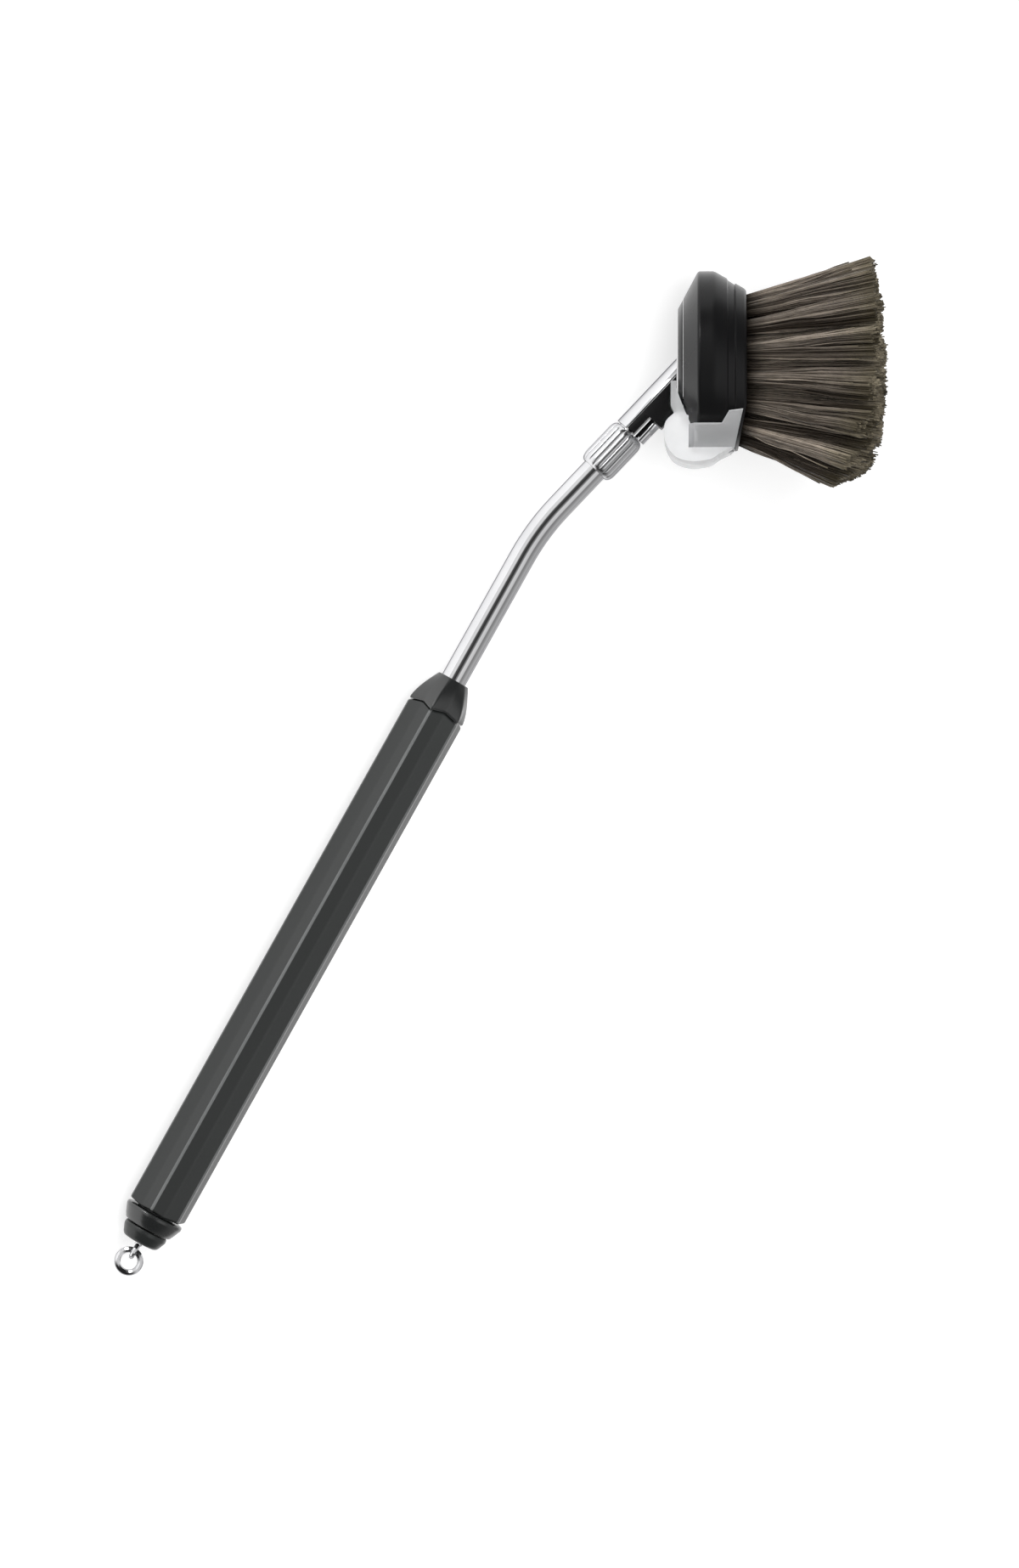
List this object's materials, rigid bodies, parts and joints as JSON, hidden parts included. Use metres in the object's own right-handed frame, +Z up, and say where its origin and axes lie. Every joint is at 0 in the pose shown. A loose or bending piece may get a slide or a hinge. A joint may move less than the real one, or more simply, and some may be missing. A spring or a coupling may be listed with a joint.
{
  "type": "long-handled scrubbing brush",
  "caption": "Long-handled scrubbing brush: fluted hexagonal grip, bent chrome stem with a pull-back lock collar, round angled bristle head and clip-on scraper.",
  "frame": {"origin": "centre of the underside of the brush's box as it lies on a table", "axes": "+X along the grip towards the head; +Z up from the table it lies on; the bristles point to -Y and up"},
  "size_m": [0.2792, 0.0606, 0.0596],
  "materials": {
    "charcoal": "satin",
    "dark_plastic": "satin",
    "head_plastic": "satin",
    "chrome": "polished",
    "steel": "satin",
    "aluminium": "satin",
    "seal_rubber": "matte",
    "frosted": "satin",
    "bristle": "matte"
  },
  "bodies": {
    "handle": {"grip_sleeve": "charcoal", "grip_core": "aluminium", "cross_pin": "steel", "nose_cap": "dark_plastic", "nose_seal": "seal_rubber", "end_ring": "dark_plastic", "end_plug": "charcoal", "hang_eye": "chrome", "stem_rod": "chrome", "stem_arm": "chrome", "spring_seat": "steel", "collar_spring": "steel"},
    "collar": {"lock_collar": "chrome", "lock_finger": "chrome"},
    "head": {"head_neck": "head_plastic", "neck_screw_1": "steel", "neck_screw_2": "steel", "back_cover": "head_plastic", "head_body": "head_plastic", "plate_screw": "steel", "bristle_plate": "head_plastic", "scraper": "frosted", "tuft_outer_01": "bristle", "tuft_outer_02": "bristle", "tuft_outer_03": "bristle", "tuft_outer_04": "bristle", "tuft_outer_05": "bristle", "tuft_outer_06": "bristle", "tuft_outer_07": "bristle", "tuft_outer_08": "bristle", "tuft_outer_09": "bristle", "tuft_outer_10": "bristle", "tuft_outer_11": "bristle", "tuft_outer_12": "bristle", "tuft_outer_13": "bristle", "tuft_outer_14": "bristle", "tuft_outer_15": "bristle", "tuft_outer_16": "bristle", "tuft_middle_01": "bristle", "tuft_middle_02": "bristle", "tuft_middle_03": "bristle", "tuft_middle_04": "bristle", "tuft_middle_05": "bristle", "tuft_middle_06": "bristle", "tuft_middle_07": "bristle", "tuft_middle_08": "bristle", "tuft_middle_09": "bristle", "tuft_middle_10": "bristle", "tuft_inner_01": "bristle", "tuft_inner_02": "bristle", "tuft_inner_03": "bristle", "tuft_inner_04": "bristle", "tuft_inner_05": "bristle"},
    "ring": {"hang_ring": "chrome"}
  },
  "joints": [
    {"name": "collar_pull", "type": "slide", "parent": "handle", "child": "collar", "axis": [-0.969, 0.1805, -0.1687], "range_m": [0, 0.0045], "stiffness_N_per_m": 600, "springref_m": -0.002, "deforming": ["collar_spring"]},
    {"name": "head_release", "type": "slide", "parent": "handle", "child": "head", "axis": [0.969, -0.1805, 0.1687], "range_m": [0, 0.02]},
    {"name": "ring_swing", "type": "hinge", "parent": "handle", "child": "ring", "pos_m": [-0.13372, 0.0234, 0.00719], "axis": [0, 0.7306, -0.6828], "range_deg": [-80, 80]}
  ]
}
